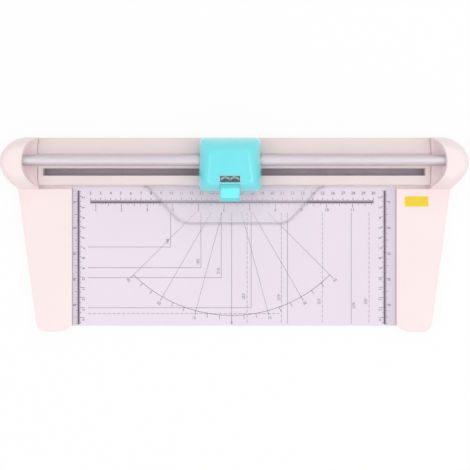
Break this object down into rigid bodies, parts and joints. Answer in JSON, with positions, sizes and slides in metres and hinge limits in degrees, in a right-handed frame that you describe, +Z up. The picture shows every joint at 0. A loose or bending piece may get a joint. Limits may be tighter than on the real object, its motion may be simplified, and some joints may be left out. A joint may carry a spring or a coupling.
{
  "type": "paper trimmer",
  "caption": "Desk paper trimmer: printed measuring board between raised wings, clamp beam with a clear plate, and a pressed cutter head that slides along a round rail.",
  "frame": {"origin": "on the table, under the middle of the object's bounding box", "axes": "+X along the rail to the user's right, +Y to the rear where the rail is, +Z up"},
  "size_m": [0.458, 0.192, 0.059],
  "materials": {
    "cream_shell": "satin moulded",
    "cream_beam": "satin moulded",
    "board": "smooth, printed",
    "mat": "soft matte",
    "rail": "satin anodised",
    "turquoise": "glossy moulded",
    "dark_window": "glossy",
    "clear_plastic": "clear, polished",
    "white_nylon": "natural nylon",
    "dark_nylon": "moulded",
    "steel": "ground",
    "blade_steel": "honed",
    "black_rubber": "matte"
  },
  "bodies": {
    "base": {"base_tray": "cream_shell", "board_panel": "board", "cutting_mat": "mat", "left_wing": "cream_shell", "right_wing": "cream_shell", "left_end_housing": "cream_shell", "right_end_housing": "cream_shell", "guide_rail": "rail", "left_rail_socket": "dark_nylon", "right_rail_socket": "dark_nylon", "left_clamp_post": "steel", "right_clamp_post": "steel", "left_clamp_spring": "steel", "right_clamp_spring": "steel", "base_screws": "steel", "front_left_foot": "black_rubber", "front_middle_foot": "black_rubber", "front_right_foot": "black_rubber", "rear_left_foot": "black_rubber", "rear_middle_foot": "black_rubber", "rear_right_foot": "black_rubber"},
    "clamp": {"clamp_beam": "cream_beam", "grip_strip": "black_rubber", "clear_plate": "clear_plastic", "plate_screws": "steel"},
    "runner": {"runner_block": "white_nylon", "left_rail_bush": "dark_nylon", "right_rail_bush": "dark_nylon", "lift_pins": "steel", "lift_springs": "steel"},
    "head": {"head_carrier": "white_nylon", "blade_cartridge": "dark_nylon", "cartridge_cap": "dark_nylon", "blade_axle": "steel", "blade_washers": "white_nylon", "cover_pin": "steel", "tab_pin": "steel", "tab_spring": "steel"},
    "blade": {"rotary_blade": "blade_steel", "blade_hub": "dark_nylon"},
    "cover": {"head_cover": "turquoise", "window_plate": "dark_window"},
    "tab": {"release_tab": "turquoise"}
  },
  "joints": [
    {"name": "clamp_press", "type": "slide", "parent": "base", "child": "clamp", "axis": [0, 0, 1], "range_m": [-0.0016, 0], "stiffness_N_per_m": 1500, "springref_m": 0.003, "deforming": ["left_clamp_spring", "right_clamp_spring"]},
    {"name": "carriage_slide", "type": "slide", "parent": "base", "child": "runner", "axis": [1, 0, 0], "range_m": [-0.1575, 0.1655]},
    {"name": "head_press", "type": "slide", "parent": "runner", "child": "head", "axis": [0, 0, 1], "range_m": [-0.0025, 0], "stiffness_N_per_m": 700, "springref_m": 0.004, "deforming": ["lift_springs"]},
    {"name": "blade_spin", "type": "hinge", "parent": "head", "child": "blade", "pos_m": [-0.0039, 0.0589, 0.02855], "axis": [0, 1, 0], "continuous": true},
    {"name": "cover_open", "type": "hinge", "parent": "head", "child": "cover", "pos_m": [-0.0039, 0.0897, 0.0319], "axis": [-1, 0, 0], "range_deg": [0, 60]},
    {"name": "tab_press", "type": "hinge", "parent": "head", "child": "tab", "pos_m": [-0.0039, 0.0477, 0.036], "axis": [1, 0, 0], "range_deg": [0, 12], "stiffness_Nm_per_rad": 0.02, "springref_deg": -17.19}
  ]
}
